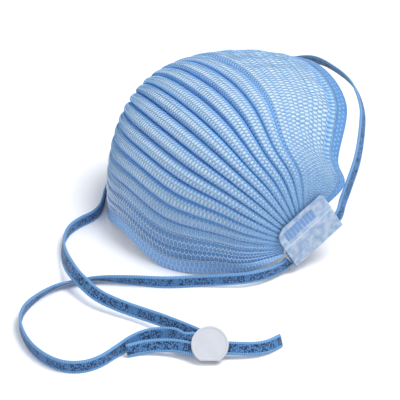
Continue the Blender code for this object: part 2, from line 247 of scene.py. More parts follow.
# %% Braided elastic
# Braided polyester: matt, with a faint sheen from its fibres. Real yarns are about 0.3 mm thick; the bars
# and the braid are drawn coarser so that they show.
STRAP_WIDTH = 6.0
BAR_PITCH_MM = 0.8
BAR_SHARE_INSIDE = 0.3
BRAID_PITCH_MM = 0.9
BRAID_SHARE = 0.35
FLECK_LENGTH_MM = 0.42
FLECK_WIDTH_MM = 0.55
FLECK_SHARE = 0.5
RUN_MM = 7.0
SMOOTH = {"interpolation_type": "SMOOTHSTEP"}

elastic, tree, shader = new_material("braided_polyester_elastic", Roughness=0.8, Sheen_Weight=0.15,
                                     Sheen_Roughness=0.5)
strap_uv = add_node(tree, "UVMap")
along = add_node(tree, "SeparateXYZ", [strap_uv])
across = along.node.outputs[1]
from_middle = add_node(tree, "Math", [across], operation="ABSOLUTE")
edge_share = add_node(tree, "MapRange", {"Value": from_middle, "From Min": 1.9, "From Max": 2.3,
                                         "To Min": BAR_SHARE_INSIDE}, **SMOOTH)
middle_share = add_node(tree, "MapRange", {"Value": from_middle, "From Min": 2.0, "From Max": 1.7}, **SMOOTH)

# %% Bars along the edges
bar_turn = add_node(tree, "Math", [along, math.tau / BAR_PITCH_MM], operation="MULTIPLY")
bar_wave = add_node(tree, "Math", [bar_turn], operation="SINE")
bars = add_node(tree, "MapRange", {"Value": bar_wave, "From Min": -1})
edge_bars = add_node(tree, "Math", [bars, edge_share], operation="MULTIPLY")
print("bars:", round(1 / BAR_PITCH_MM, 2), "per mm")

# %% Flecks down the middle
fleck_steps = [add_node(tree, "Math", [add_node(tree, "Math", [way, size], operation="DIVIDE")],
                        operation="FLOOR")
               for way, size in ((along, FLECK_LENGTH_MM), (across, FLECK_WIDTH_MM))]
fleck_luck = add_node(tree, "TexWhiteNoise", {"Vector": add_node(tree, "CombineXYZ", fleck_steps)},
                      "Value", noise_dimensions="2D")
flecks = add_node(tree, "Math", [fleck_luck, FLECK_SHARE], operation="LESS_THAN")
run_number = add_node(tree, "Math", [along, RUN_MM], operation="DIVIDE")
run_noise = add_node(tree, "TexNoise", {"W": run_number, "Scale": 1.0}, noise_dimensions="1D")
run_share = add_node(tree, "MapRange", {"Value": run_noise, "From Min": 0.36, "From Max": 0.44,
                                        "To Min": 0.3}, **SMOOTH)
figure = add_node(tree, "Math", [flecks, run_share], operation="MULTIPLY")
figure = add_node(tree, "Math", [figure, middle_share], operation="MULTIPLY")
print("a fleck is", FLECK_LENGTH_MM, "by", FLECK_WIDTH_MM, "mm")

# %% Yarn colours and braid
fuzz = add_node(tree, "TexNoise", {"Vector": strap_uv, "Scale": 3.0, "Detail": 3.0})
yarn = coated(tree, "#386FA4", (fuzz, "#4A84BA"), (middle_share, "#30689E"), (edge_bars, "#79A8D2"),
              (figure, "#102A50"))
braid = add_node(tree, "TexWave", {"Vector": strap_uv, "Scale": 1 / BRAID_PITCH_MM, "Distortion": 0.4},
                 "Fac", wave_type="BANDS", bands_direction="DIAGONAL")
raised = add_node(tree, "Math", [braid, BRAID_SHARE, edge_bars], operation="MULTIPLY_ADD")
finish(shader, yarn, (raised, 0.7, 0.12))

# %% [markdown]
# ## Strap
# One strap runs from its loose tail through the clasp, round the neck, through a clip, over the crown,
# through the other clip and back to the clasp. It stands on its edge on the table, as springy flat
# elastic does, and tips over where it crosses itself. Each stretch is a grid carried along a smooth
# curve through a few chosen points: x, y, z and how far the strap tips over, in millimetres and degrees.

# %% Route helpers
STRAP_THICKNESS = 1.2
STRAP_X = 64.0
STRAP_FORWARD = -8.6
TUNNEL_END = -13.0
FACE_GAP = 0.6
TABLE_SHIFT = np.array([0.0, 6.48, 0.0])
CLASP_CENTRE = np.array([106.6, -75.1, 5.8]) + TABLE_SHIFT
CLASP_HEADING = math.radians(59.0)
CLASP_LEAN_DEG = 40.0

clasp_along = np.array([math.cos(CLASP_HEADING), math.sin(CLASP_HEADING), 0.0])
clasp_facing = np.array([math.sin(CLASP_HEADING), -math.cos(CLASP_HEADING), 0.0])
clasp_tip = math.radians(CLASP_LEAN_DEG)
clasp_out = clasp_facing * math.cos(clasp_tip) + np.array([0, 0, math.sin(clasp_tip)])
clasp_up = np.array([0, 0, math.cos(clasp_tip)]) - clasp_facing * math.sin(clasp_tip)
CLASP = np.array([clasp_along, clasp_up, clasp_out])


def at_clasp(along, up, out):
    """A route point given in the clasp's own directions."""
    return (*(np.array([along, up, out]) @ CLASP + CLASP_CENTRE), CLASP_LEAN_DEG)


def on_table(points):
    """Route points given straight on the table."""
    return [(x, y + TABLE_SHIFT[1], z, tip) for x, y, z, tip in points]


print("clasp centre, in mm:", CLASP_CENTRE)


# %% Smooth route
CURVE_STEPS = 24
HEADING_REACH = 1.5


def running_length(curve):
    """Length along a curve up to each of its points, in mm."""
    return np.concatenate([[0], np.cumsum(np.linalg.norm(np.diff(curve, axis=0), axis=1))])


def smooth_route(points, step):
    """Evenly spaced points, headings and tips on a Catmull-Rom curve through the route."""
    route = [np.array(point, float) for point in points]
    route = [2 * route[0] - route[1]] + route + [2 * route[-1] - route[-2]]
    fine = []
    for before, start, end, after in zip(route, route[1:], route[2:], route[3:]):
        for u in np.linspace(0, 1, CURVE_STEPS, endpoint=False):
            bend = 2 * start + (end - before) * u
            bend += (2 * before - 5 * start + 4 * end - after) * u * u
            bend += (3 * start - before - 3 * end + after) * u ** 3
            fine.append(bend / 2)
    fine = np.array(fine + [route[-2]])
    run = running_length(fine[:, :3])
    at = np.linspace(0, run[-1], max(2, round(run[-1] / step)) + 1)
    spots, ahead, behind = (np.array([np.interp(at + reach, run, fine[:, k]) for k in range(4)]).T
                            for reach in (0, HEADING_REACH, -HEADING_REACH))
    heading = (ahead - behind)[:, :3]
    heading /= np.linalg.norm(heading, axis=1)[:, None]
    return spots[:, :3], heading, spots[:, 3], run[-1]


print("straight test route:", round(smooth_route([(0, 0, 0, 0), (10, 0, 0, 0)], 1.0)[3], 2), "mm")

# %% Route of each stretch
CROWN_ARCH = ((63.5, 20.5, -8.2), (60.6, 25.5, -6.8), (57.0, 33.0, -5.0), (50.0, 46.0, -2.0),
              (40.0, 59.0, 2.0), (31.0, 67.0, 4.5), (17.0, 73.2, 7.0))
CROWN_TOP = (0.0, 74.5, 8.0)


def tunnel_exit(side):
    """Where the strap leaves a clip on the chin side, and a point straight on from there."""
    ends = [(side * STRAP_X, TUNNEL_END, STRAP_FORWARD), (side * STRAP_X, TUNNEL_END - 4, STRAP_FORWARD)]
    return [(*place(end), 0.0) for end in ends]


right_half = [(STRAP_X, TUNNEL_END + FACE_GAP, STRAP_FORWARD), (STRAP_X, 0.0, STRAP_FORWARD)]
right_half += [(STRAP_X, 16.0, STRAP_FORWARD), *CROWN_ARCH]
left_half = [(-x, rise, forward) for x, rise, forward in reversed(right_half)]
crown_route = [(*place(point), 0.0) for point in right_half + [CROWN_TOP] + left_half]

neck_right_route = tunnel_exit(1) + on_table([
    (65.9, -20.0, 5.2, 0), (65.0, -29.5, 5.2, 0), (60.3, -38.6, 4.4, 0), (53.6, -49.5, 3.5, 0),
    (46.4, -63.8, 3.2, 0), (36.9, -76.6, 3.2, 14), (26.9, -89.2, 2.8, 40), (22.8, -101.0, 2.5, 55),
    (24.0, -114.0, 2.9, 35), (32.6, -130.0, 3.1, 8), (43.4, -138.4, 3.2, 0), (58.6, -142.4, 3.2, 0),
    (72.4, -142.2, 3.2, 0), (83.9, -138.0, 3.2, 0), (89.6, -130.6, 3.2, 3), (90.0, -121.6, 3.2, 6),
    (86.6, -111.5, 3.2, 10), (83.9, -101.8, 3.9, 22), (84.4, -93.2, 4.8, 32), (90.6, -85.4, 6.2, 38)])
neck_right_route += [at_clasp(-12.0, 3.1, -1.6), at_clasp(-6.6, 3.0, -0.3)]
neck_left_route = tunnel_exit(-1) + on_table([
    (-65.5, -21.0, 3.9, 0), (-62.5, -31.0, 3.2, 0), (-55.5, -41.0, 3.2, 0), (-46.0, -49.0, 3.2, 0),
    (-38.0, -54.5, 3.2, 0), (-31.8, -59.6, 3.2, 0), (-27.6, -66.0, 3.2, 0), (-25.2, -74.0, 3.2, 0),
    (-20.6, -82.2, 3.2, 0), (-11.6, -89.6, 3.3, 6), (3.0, -96.2, 5.0, 26), (21.5, -101.0, 7.7, 50),
    (34.0, -101.2, 7.4, 46), (45.0, -99.6, 6.4, 38), (55.0, -95.0, 5.4, 30), (65.9, -88.8, 4.9, 26),
    (76.0, -84.0, 5.4, 28), (87.0, -79.9, 6.2, 32), (94.4, -77.2, 6.6, 38)])
neck_left_route += [at_clasp(-3.6, 4.4, -3.9)]
tail_route = [at_clasp(5.9, -1.0, 0), at_clasp(10.0, -1.1, -0.2)] + on_table([
    (116.3, -58.6, 4.3, 32), (117.2, -51.5, 3.7, 26), (115.4, -43.4, 3.2, 22)])
fold_route = on_table([(88.6, -107.4, 3.2, 14), (90.9, -98.3, 3.9, 26), (97.4, -88.9, 5.0, 36)])
fold_route += [at_clasp(-8.5, -1.5, 1.6), at_clasp(-6.3, -1.3, 1.7)]
print("route points:", [len(route) for route in (crown_route, neck_right_route, neck_left_route,
                                                 tail_route, fold_route)])

# %% Strap stretches
STRAP_STEP = 1.5
STRAP_ACROSS = 8
EDGE_THICKNESS_SHARE = 0.55
EDGE_TOLERANCE = 0.01


def strap_stretch(name, route, standing):
    """A lens-shaped flat strap along a route; standing is the side its width points to."""
    spots, heading, tips, run = smooth_route(route, STRAP_STEP)
    piece = grid(name + "_elastic", len(spots) - 1, STRAP_ACROSS)
    flat = points_of(piece)
    index = np.rint(flat[:, 0] * (len(spots) - 1)).astype(int)
    ahead = heading[index]
    upright = standing - ahead * (ahead @ standing)[:, None]
    upright /= np.linalg.norm(upright, axis=1)[:, None]
    turn = np.radians(tips[index])[:, None]
    across = upright * np.cos(turn) + np.cross(upright, ahead) * np.sin(turn)
    off_middle = (flat[:, 1] - 0.5) * STRAP_WIDTH
    move_points(piece, spots[index] + across * off_middle[:, None])
    set_uv(piece, flat[:, 0] * run, off_middle)
    inside = np.abs(off_middle) <= STRAP_WIDTH / 2 - EDGE_TOLERANCE
    thicken(piece, STRAP_THICKNESS, 0.0, inside, EDGE_THICKNESS_SHARE)
    piece.data.materials.append(elastic)
    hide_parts(name)
    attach(piece, "mask")
    print(name, "runs", round(run, 1), "mm")
    return piece, spots * MM, run * MM


UP = np.array([0.0, 0.0, 1.0])
crown, crown_path, crown_length = strap_stretch("crown_strap", crown_route, FORWARD_AXIS)
neck_right, right_path, right_length = strap_stretch("neck_strap_right", neck_right_route, UP)
neck_left, left_path, left_length = strap_stretch("neck_strap_left", neck_left_route, UP)
tail = strap_stretch("strap_tail", tail_route, UP)[0]
fold = strap_stretch("strap_fold_back", fold_route, UP)[0]

# %% [markdown]
# ## Cup surface
# The cup's outside is one smooth patch: s runs from clip to clip and t from the chin rim to the nose
# rim. Five stations across half the face give the rims' height, how far forward they stand, and the
# cup's depth. The same numbers shaped the CAD part, so the fine surface lies where the part is.

# %% Cup outline
STATIONS = np.array([0.0, 0.3, 0.6, 0.85, 1.0])
HALF_WIDTH = 64.5
NOSE_RISE = np.array([68.0, 61.0, 36.5, 28.0, 11.0])
NOSE_FORWARD = np.array([16.0, 11.0, 7.5, 1.5, 3.0])
CHIN_RISE = np.array([-60.0, -58.0, -41.0, -28.0, -13.5])
CHIN_FORWARD = np.array([21.0, 11.0, 4.5, 0.5, -3.5])
NOSE_FAIR = np.array([66.0, 58.5, 45.0, 30.5, 11.0])
CHIN_FAIR = np.array([-60.0, -54.0, -43.5, -30.0, -13.5])
RIM_POWER = 4
CUP_DEPTH = np.array([37.0, 43.0, 37.0, 25.0, 6.5])
SECTION_CUT = 0.10
print("stations across half the face:", len(STATIONS))


# %% Curve through the stations
def even_curve(values, s):
    """Smooth curve through the station values, the same on both sides of the middle."""
    where = np.minimum(np.abs(s), 1.0)
    steps = np.diff(STATIONS)
    rises = np.diff(values) / steps
    inner = (steps[1:] * rises[:-1] + steps[:-1] * rises[1:]) / (steps[1:] + steps[:-1])
    slopes = np.concatenate([[0.0], inner, rises[-1:]])
    i = np.minimum(np.searchsorted(STATIONS, where, side="right") - 1, len(steps) - 1)
    u = (where - STATIONS[i]) / steps[i]
    start = (1 + 2 * u) * (1 - u) ** 2 * values[i] + u * (1 - u) ** 2 * steps[i] * slopes[i]
    end = u * u * (3 - 2 * u) * values[i + 1] + u * u * (u - 1) * steps[i] * slopes[i + 1]
    return start + end


print("chin rim at a quarter of the way:", round(float(even_curve(CHIN_RISE, np.array(0.25))), 1), "mm")


# %% Cup point
def cup_point(s, t):
    """A point of the smooth outside, in the wearing frame."""
    cut = math.pi * SECTION_CUT
    angle = cut + (math.pi - 2 * cut) * t
    bulge = (np.sin(angle) - math.sin(cut)) / (1 - math.sin(cut))
    climb = (math.cos(cut) - np.cos(angle)) / (2 * math.cos(cut))
    chin = even_curve(CHIN_RISE, s)
    nose = even_curve(NOSE_RISE, s)
    back = even_curve(CHIN_FORWARD, s)
    forward = back + (even_curve(NOSE_FORWARD, s) - back) * t + even_curve(CUP_DEPTH, s) * bulge
    side = HALF_WIDTH * np.sin(math.pi / 2 * s) + 0 * t
    fair_chin = even_curve(CHIN_FAIR, s)
    fair_nose = even_curve(NOSE_FAIR, s)
    rise = fair_chin + (fair_nose - fair_chin) * climb
    rise = rise + (nose - fair_nose) * climb ** RIM_POWER + (chin - fair_chin) * (1 - climb) ** RIM_POWER
    return np.stack([side, rise, forward], axis=-1)


print("middle of the cup's front, worn:", cup_point(np.array(0.0), np.array(0.5)))


# %% Off the cup
SMALL = 1e-3


def cup_slope(s, t):
    """How the surface moves with t, in mm for the whole section."""
    high = np.minimum(t + SMALL, 1)
    low = np.maximum(t - SMALL, 0)
    return (cup_point(s, high) - cup_point(s, low)) / (high - low)[..., None]


def off_cup(s, t, height):
    """Points on the table that stand this many mm outside the smooth cup."""
    across = cup_point(np.minimum(s + SMALL, 1), t) - cup_point(np.maximum(s - SMALL, -1), t)
    out = np.cross(across, cup_slope(s, t))
    out = out / np.linalg.norm(out, axis=-1)[..., None]
    return place(cup_point(s, t) + out * np.asarray(height)[..., None])


print("front of the cup, in mm:", off_cup(np.array(0.0), np.array(0.5), 0))


# %% [markdown]
# ## Pleats
# Fourteen grooves fan out from each clip. Between them the web stands up in round rope-like ridges,
# slightly fuller on the chin side. Ridge height follows the local pitch, so it dies away at the clips;
# it also fades out towards the nose and the chin, where only faint ribs are left. The nose area is
# smooth apart from soft lumps, and sinks into a valley beside the rim.

# %% Pleat wave
GROOVES = 14
FIRST_GROOVE = 0.085
GROOVE_PITCH = 0.040
PITCH_GROWTH = 0.0005
RIDGE_SHARE = 0.42
RIDGE_LIMIT = 3.2
RIDGE_SKEW = 0.66
DARK_BELOW = 0.20
DARK_ABOVE = 0.34
RIM_VALLEY_T = 0.936
RIM_VALLEY_WIDTH = 0.012
RIM_VALLEY_DEPTH = 1.1
RIM_VALLEY_SHADE = 0.55
LAST_OPEN_T = 0.954
LUMP_HEIGHT = 0.45
LUMP_WAVES = ((31, 19), (11, -57), (53, -23))
CHIN_AT = [-1.0, 0.5, 3.5]
CHIN_TO = [1.0, 0.85, 0.0]
FADE_AT = [-2.2, -0.8, 0.5, 3.5, GROOVES - 3.0, GROOVES - 1.0, GROOVES, GROOVES + 5.0]
FADE_TO = [0.0, 0.25, 0.62, 1.0, 1.0, 0.75, 0.16, 0.05]


print("pleats:", GROOVES)


# %% Counting pleats
def pleat_number(t):
    """Which pleat a height belongs to, counted from the first groove."""
    reach = GROOVE_PITCH ** 2 + 4 * PITCH_GROWTH * np.maximum(t - FIRST_GROOVE, 0)
    inside = (np.sqrt(reach) - GROOVE_PITCH) / (2 * PITCH_GROWTH)
    return np.where(t < FIRST_GROOVE, (t - FIRST_GROOVE) / GROOVE_PITCH, inside)


def height_at(number):
    """The t of a pleat number."""
    inside = FIRST_GROOVE + number * (GROOVE_PITCH + number * PITCH_GROWTH)
    return np.where(number < 0, FIRST_GROOVE + number * GROOVE_PITCH, inside)


print("last groove at t =", round(float(height_at(GROOVES - 1.0)), 3))


# %% Height of the ridges
def pleat_dip(s, t):
    """(drop in mm below the crest line, and a share from 0 on a crest to 1 in a groove: netting bunched in
    the grooves plus painted shade there and in the valley beside the nose rim)
    """
    number = pleat_number(t)
    part = number - np.floor(number)
    phase = part ** RIDGE_SKEW
    crest = np.sqrt(np.maximum(1 - (2 * phase - 1) ** 2, 0))
    strength = np.interp(number, FADE_AT, FADE_TO)
    step = np.where(number < 0, GROOVE_PITCH, GROOVE_PITCH + 2 * PITCH_GROWTH * number)
    pitch = np.linalg.norm(cup_slope(s, t), axis=-1) * step
    depth = np.minimum(RIDGE_SHARE * pitch, RIDGE_LIMIT)
    # The colour share grows beside each groove and in the rim valley: partly bunched netting, partly painted
    # groove shade.
    below = np.clip(1 - part / DARK_BELOW, 0, 1)
    above = np.clip(1 - (1 - part) / DARK_ABOVE, 0, 1)
    beside_rim = np.exp(-(((t - RIM_VALLEY_T) / RIM_VALLEY_WIDTH) ** 2)) * (1 - s ** 4)
    nose_share = np.interp(number, [GROOVES - 1.0, GROOVES + 1.0], [0, 1]) * (1 - s ** 4)
    nose_share = nose_share * np.interp(t, [RIM_VALLEY_T, LAST_OPEN_T], [1, 0])
    broad, crossing, small = (np.sin(sideways * s + upwards * t) for sideways, upwards in LUMP_WAVES)
    lumps = broad * crossing + small / 2
    dip = depth * (1 - crest) * strength + RIM_VALLEY_DEPTH * beside_rim
    dip = dip + LUMP_HEIGHT * (1 + lumps) * nose_share
    return dip, np.maximum(np.maximum(below, above) * strength, RIM_VALLEY_SHADE * beside_rim)


def chin_share(t):
    """How much a height belongs to the darker zone near the chin."""
    return np.interp(pleat_number(t), CHIN_AT, CHIN_TO)


def cup_surface(s, t, depth=0.0):
    """(points this deep under the pleated outside, and that share of bunched netting and painted groove
    shade)
    """
    dip, crowding_and_groove_shade = pleat_dip(s, t)
    return off_cup(s, t, -(dip + depth)), crowding_and_groove_shade


# %% Lengths over the cup
FRONT_T = 0.45
fine_s = np.linspace(-1, 1, 801)
side_run = running_length(cup_point(fine_s, np.full_like(fine_s, FRONT_T)))
fine_t = np.linspace(0, 1, 6001)
rise_run = running_length(cup_surface(np.zeros_like(fine_t), fine_t)[0])
print("clip to clip over the front:", round(side_run[-1]), "mm; chin to nose along the web:",
      round(rise_run[-1]), "mm")

# %% [markdown]
# ## Rows and columns of the netting
# The netting is extruded from soft plastic: zigzag strands run from clip to clip, and short rungs join
# each to the next, so the cells are six-sided. It is pleated together with the web, so its strands are
# evenly spaced along the pleated surface, not along the smooth cup. The last row, at the nose rim, is
# pulled into long rungs by the mould. The netting and the web's bulges between the strands use the same
# count of cells.

# %% Netting count
CELL_WIDTH = 2.0
CELL_HEIGHT = 3.2
ZIGZAG = 0.17
RUNG_LENGTH = 6.0
RIM_BAND = 0.040
RIM_GAP = 0.006
FIRST_T = RIM_BAND + RIM_GAP
LAST_T = 1 - FIRST_T
CELL_COLUMNS = round(side_run[-1] / CELL_WIDTH)
start_run, end_run = np.interp([FIRST_T, LAST_T], fine_t, rise_run)
even_rows = round((end_run - RUNG_LENGTH - start_run) / CELL_HEIGHT)
row_runs = np.append(np.linspace(start_run, end_run - RUNG_LENGTH, even_rows + 1), end_run)
row_t = np.interp(row_runs, rise_run, fine_t)
CELL_ROWS = len(row_t) - 1
print("netting:", CELL_COLUMNS, "columns by", CELL_ROWS, "rows of cells")


def s_at(column):
    """s of a netting column, counted from one clip to the other along the front."""
    return np.interp(column / CELL_COLUMNS * side_run[-1], side_run, fine_s)


def t_at(row):
    """t of a netting row, counted from the chin."""
    return np.interp(row, np.arange(CELL_ROWS + 1), row_t)


# %% Nearest strand
def nearest_strand(tree, cell_uv):
    """Distance in mm to the nearest strand, then the column and row of the cell, from counts of cells."""
    column = add_node(tree, "SeparateXYZ", [cell_uv])
    row = column.node.outputs[1]
    strand = add_node(tree, "Math", [row], operation="ROUND")
    turns = [add_node(tree, "Math", pair, operation="MULTIPLY")
             for pair in ((column, math.tau), (strand, math.pi))]
    waves = [add_node(tree, "Math", [turn], operation="COSINE") for turn in turns]
    wave = add_node(tree, "Math", waves, operation="MULTIPLY")
    zigzag = add_node(tree, "Math", [wave, ZIGZAG], operation="MULTIPLY")
    off_row = add_node(tree, "Math", [row, strand], operation="SUBTRACT")
    off_strand = add_node(tree, "Math", [off_row, zigzag], operation="SUBTRACT")
    cell_row = add_node(tree, "Math", [row], operation="FLOOR")
    odd_row = add_node(tree, "Math", [cell_row, 2.0], operation="FLOORED_MODULO")
    cell_column = add_node(tree, "Math", [odd_row, 0.5, column], operation="MULTIPLY_ADD")
    off_rung = add_node(tree, "Math", [cell_column, 0.5], operation="PINGPONG")
    from_strand = add_node(tree, "Math", [off_strand], operation="ABSOLUTE")
    strand_mm = add_node(tree, "Math", [from_strand, CELL_HEIGHT], operation="MULTIPLY")
    rung_mm = add_node(tree, "Math", [off_rung, CELL_WIDTH], operation="MULTIPLY")
    return add_node(tree, "Math", [strand_mm, rung_mm], operation="MINIMUM"), cell_column, cell_row


print("a cell is", CELL_WIDTH, "by", CELL_HEIGHT, "mm")

# %% [markdown]
# ## Cover web
# The outermost nonwoven layer is pushed into the netting when the cup is moulded, so it bulges through
# every cell. The ridges are real geometry, since they show on the outline; the bulges are too many for
# that and come from the material, which knows the cell count from the UV map.

# %% Cover web
WEB_COLUMNS = 256
WEB_DEPTH = 0.45
WEB_THICKNESS = 0.9
RIDGE_PHASES = [0.0, 0.05, 0.12, 0.21, 0.32, 0.45, 0.60, 0.75, 0.87, 0.95]
PLAIN_ROWS_CHIN = 6
PLAIN_ROWS_NOSE = 40

ridge_rows = [height_at(i + phase) for i in range(GROOVES - 1) for phase in RIDGE_PHASES]
chin_rows = np.linspace(FIRST_T, FIRST_GROOVE, PLAIN_ROWS_CHIN, endpoint=False)
nose_rows = np.linspace(height_at(GROOVES - 1.0), LAST_T, PLAIN_ROWS_NOSE)
web_rows = np.concatenate([chin_rows, ridge_rows, nose_rows])

web = grid("cover_web", WEB_COLUMNS, len(web_rows) - 1)
flat = points_of(web)
web_s = s_at(flat[:, 0] * CELL_COLUMNS)
web_t = web_rows[np.rint(flat[:, 1] * (len(web_rows) - 1)).astype(int)]
web_points, web_crowding_and_shade = cup_surface(web_s, web_t, WEB_DEPTH)
move_points(web, web_points)
set_uv(web, flat[:, 0] * CELL_COLUMNS, np.interp(web_t, row_t, np.arange(CELL_ROWS + 1)))
# This attribute carries the bunched netting and the painted shade in the grooves.
set_attribute(web, "crowding_and_groove_shade", web_crowding_and_shade)
set_attribute(web, "chin", chin_share(web_t))
set_attribute(web, "clip_side", np.abs(web_s) ** 3)
thicken(web, WEB_THICKNESS)
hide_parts("filter_web")
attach(web, "mask")

# %% Cover web material
# Spunbond polypropylene: matt and faintly fibrous, paler where it bulges through the netting, with painted
# shade along the strands and, partly, in the grooves. Its real fibres are about 0.02 mm thick; they are drawn
# coarser so that they show.
WEB_FIBRE_MM = 0.35
WEB_PATCH_MM = 5.0
CELL_VARIETY = 0.35
CHIN_SHADE = 0.85

web_finish, tree, shader = new_material("spunbond_polypropylene_web", Roughness=0.82, Sheen_Weight=0.2)
nearest, cell_column, cell_row = nearest_strand(tree, add_node(tree, "UVMap"))
bulge = add_node(tree, "MapRange", {"Value": nearest, "From Min": 0.05, "From Max": 0.85}, **SMOOTH)
crowding_and_groove_shade, clip_side, near_chin = (add_node(tree, "Attribute", out="Fac", attribute_name=name)
                                  for name in ("crowding_and_groove_shade", "clip_side", "chin"))

# %% From pale crests to blue grooves, partly painted groove shade
# Pale crests and blue grooves: the grooves' tones are partly the bunched netting's colour, partly painted
# shade.
ridge_tone = add_node(tree, "ValToRGB", [crowding_and_groove_shade])
ramp = ridge_tone.node.color_ramp.elements
ramp[0].color, ramp[1].color = hex_colour("#CFDCE6"), hex_colour("#5AACFF")
for stop, tone in ((0.20, "#B0CEE8"), (0.48, "#8ABAE4"), (0.78, "#6CB2F6")):
    ramp.new(stop).color = hex_colour(tone)
# Painted shade: the web is darker where it meets the strands and keeps its full tone at the middle of each
# bulge.
strand_shade_tone = add_node(tree, "Mix", {"Factor": 1.0, "A": ridge_tone, "B": "#A4C6DC"}, "Result",
                        data_type="RGBA", blend_type="MULTIPLY")
print("ridge tones:", len(ramp))

# %% Patches, cells and relief of the web
cell_floor = add_node(tree, "Math", [cell_column], operation="FLOOR")
cell_number = add_node(tree, "CombineXYZ", [cell_floor, cell_row])
cell_luck = add_node(tree, "TexWhiteNoise", {"Vector": cell_number}, "Value", noise_dimensions="2D")
cell_share = add_node(tree, "Math", [cell_luck, CELL_VARIETY], operation="MULTIPLY")
where = add_node(tree, "TexCoord", out="Object")
patches = add_node(tree, "TexNoise", {"Vector": where, "Scale": 1 / (WEB_PATCH_MM * MM), "Detail": 3.0})
patch_share = add_node(tree, "MapRange", {"Value": patches, "From Min": 0.3, "From Max": 0.75,
                                          "To Max": 0.22}, **SMOOTH)
chin_darkening = add_node(tree, "Math", [near_chin, CHIN_SHADE], operation="MULTIPLY")
web_tone = coated(tree, strand_shade_tone, (bulge, ridge_tone), (clip_side, "#74A8D8"),
                  (cell_share, "#90BAE0"), (patch_share, "#82B0E0"), (chin_darkening, "#3A8ACC"))
fibres = add_node(tree, "TexNoise", {"Vector": where, "Scale": 1 / (WEB_FIBRE_MM * MM), "Detail": 4.0})
finish(shader, web_tone, (bulge, 0.9, 0.5), (fibres, 0.3, 0.1))
web.data.materials.append(web_finish)

# %% [markdown]
# ## Netting
# A fine grid holds both kinds of strand. Dissolving its half-way lines and every other rung leaves the
# zigzags and the rungs between them, as bricks in a wall, and moving each joint towards its rung turns
# the bricks into six-sided cells. The Wireframe modifier gives the lines their thickness. The sheet is
# made in two halves to keep each mesh light, and strands get thinner where they gather at the clips.

# %% Netting plastic
# Extruded polyethylene: waxy, slightly glossy, a little uneven in colour along the strand, paler near the
# chin, and bluer deep in the grooves, where it bunches and where painted groove shade falls.
STRAND_PATCH_MM = 4.0
STRAND_GRAIN_MM = 0.5

netting, tree, shader = new_material("extruded_polyethylene_netting", Roughness=0.42, IOR=1.51)
crowded_and_shaded, near_chin = (add_node(tree, "Attribute", out="Fac", attribute_name=name)
                      for name in ("crowding_and_groove_shade", "chin"))
where = add_node(tree, "TexCoord", out="Object")
patches = add_node(tree, "TexNoise", {"Vector": where, "Scale": 1 / (STRAND_PATCH_MM * MM), "Detail": 3.0})
# Bluer in the grooves: partly bunched netting, partly painted groove shade.
strand_tone = coated(tree, "#8CB4D8", (patches, "#A8CAE6"), (crowded_and_shaded, "#72B6FA"), (near_chin, "#DCECFC"))
strand_grain = add_node(tree, "TexNoise", {"Vector": where, "Scale": 1 / (STRAND_GRAIN_MM * MM)})
finish(shader, strand_tone, (strand_grain, 0.25, 0.08))

# %% Netting sheet
STRAND_WIDTH = 0.42
USUAL_SHARE = 0.8
STRAND_DEPTH = 0.22
THINNEST_SHARE = 0.28
WIDTH_STEPS = 10
TINY = 1e-6
EDGE_MARGIN = 1e-4


def net_sheet(low_row, high_row):
    """Zigzag strands and rungs between two rows of cells, still flat and still straight."""
    rows = high_row - low_row
    form = bmesh.new()
    bmesh.ops.create_grid(form, x_segments=2 * CELL_COLUMNS, y_segments=2 * rows, size=0.5)
    spare = []
    for edge in form.edges:
        middle = (edge.verts[0].co + edge.verts[1].co) / 2
        step = (middle.x + 0.5) * 2 * CELL_COLUMNS
        level = (middle.y + 0.5) * 2 * rows
        if abs(edge.verts[0].co.x - edge.verts[1].co.x) > TINY:
            unwanted = round(level) % 2 == 1
        else:
            unwanted = (round(step) + low_row + math.floor(level / 2)) % 2 == 1
        if unwanted and not edge.is_boundary:
            spare.append(edge)
    bmesh.ops.dissolve_edges(form, edges=spare, use_verts=False)
    return form


print("strands", STRAND_WIDTH, "mm wide, at the clips", round(STRAND_WIDTH * THINNEST_SHARE, 2), "mm")


# %% Netting on the cup
def net_part(name, low_row, high_row):
    """One half of the netting, laid on the cup."""
    piece = to_object(name, net_sheet(low_row, high_row))
    flat = points_of(piece) + 0.5
    step = np.rint(flat[:, 0] * 2 * CELL_COLUMNS)
    level = flat[:, 1] * 2 * (high_row - low_row)
    on_strand = np.rint(level) % 2 == 0
    inside = (step > 0) & (step < 2 * CELL_COLUMNS) & (np.abs(flat[:, 1] - 0.5) < 0.5 - EDGE_MARGIN)
    shift = np.where((step + low_row + np.rint(level / 2)) % 2 == 0, ZIGZAG, -ZIGZAG)
    s = s_at(flat[:, 0] * CELL_COLUMNS)
    t = t_at(low_row + level / 2 + shift * on_strand * inside)
    where, crowding_and_groove_shade = cup_surface(s, t, STRAND_DEPTH)
    move_points(piece, where)
    # The same share of bunched netting and painted groove shade as on the web.
    set_attribute(piece, "crowding_and_groove_shade", crowding_and_groove_shade)
    set_attribute(piece, "chin", chin_share(t))
    width = (1 - np.abs(s) ** 4) * (USUAL_SHARE + (1 - USUAL_SHARE) * chin_share(t))
    graded_group(piece, "strand_width", width, WIDTH_STEPS)
    strands = piece.modifiers.new("Strands", "WIREFRAME")
    strands.thickness = STRAND_WIDTH * MM
    strands.use_even_offset = False
    strands.use_boundary = True
    strands.vertex_group = "strand_width"
    strands.thickness_vertex_group = THINNEST_SHARE
    piece.data.materials.append(netting)
    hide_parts("outer_net")
    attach(piece, "mask")
    print(name, "has", len(piece.data.edges), "strand pieces")


net_middle = CELL_ROWS // 2
net_part("net_chin_half", 0, net_middle)
net_part("net_nose_half", net_middle, CELL_ROWS)

# %% [markdown]
# ## Welded rim
# Web, netting and liner are welded together all round, which melts them into a stiff glossy band. The
# welding wheel leaves two rows of paler pressed dots. The band is a fine strip of the same cup surface,
# its dots pressed into the mesh itself, and its free edge flares outwards a little.

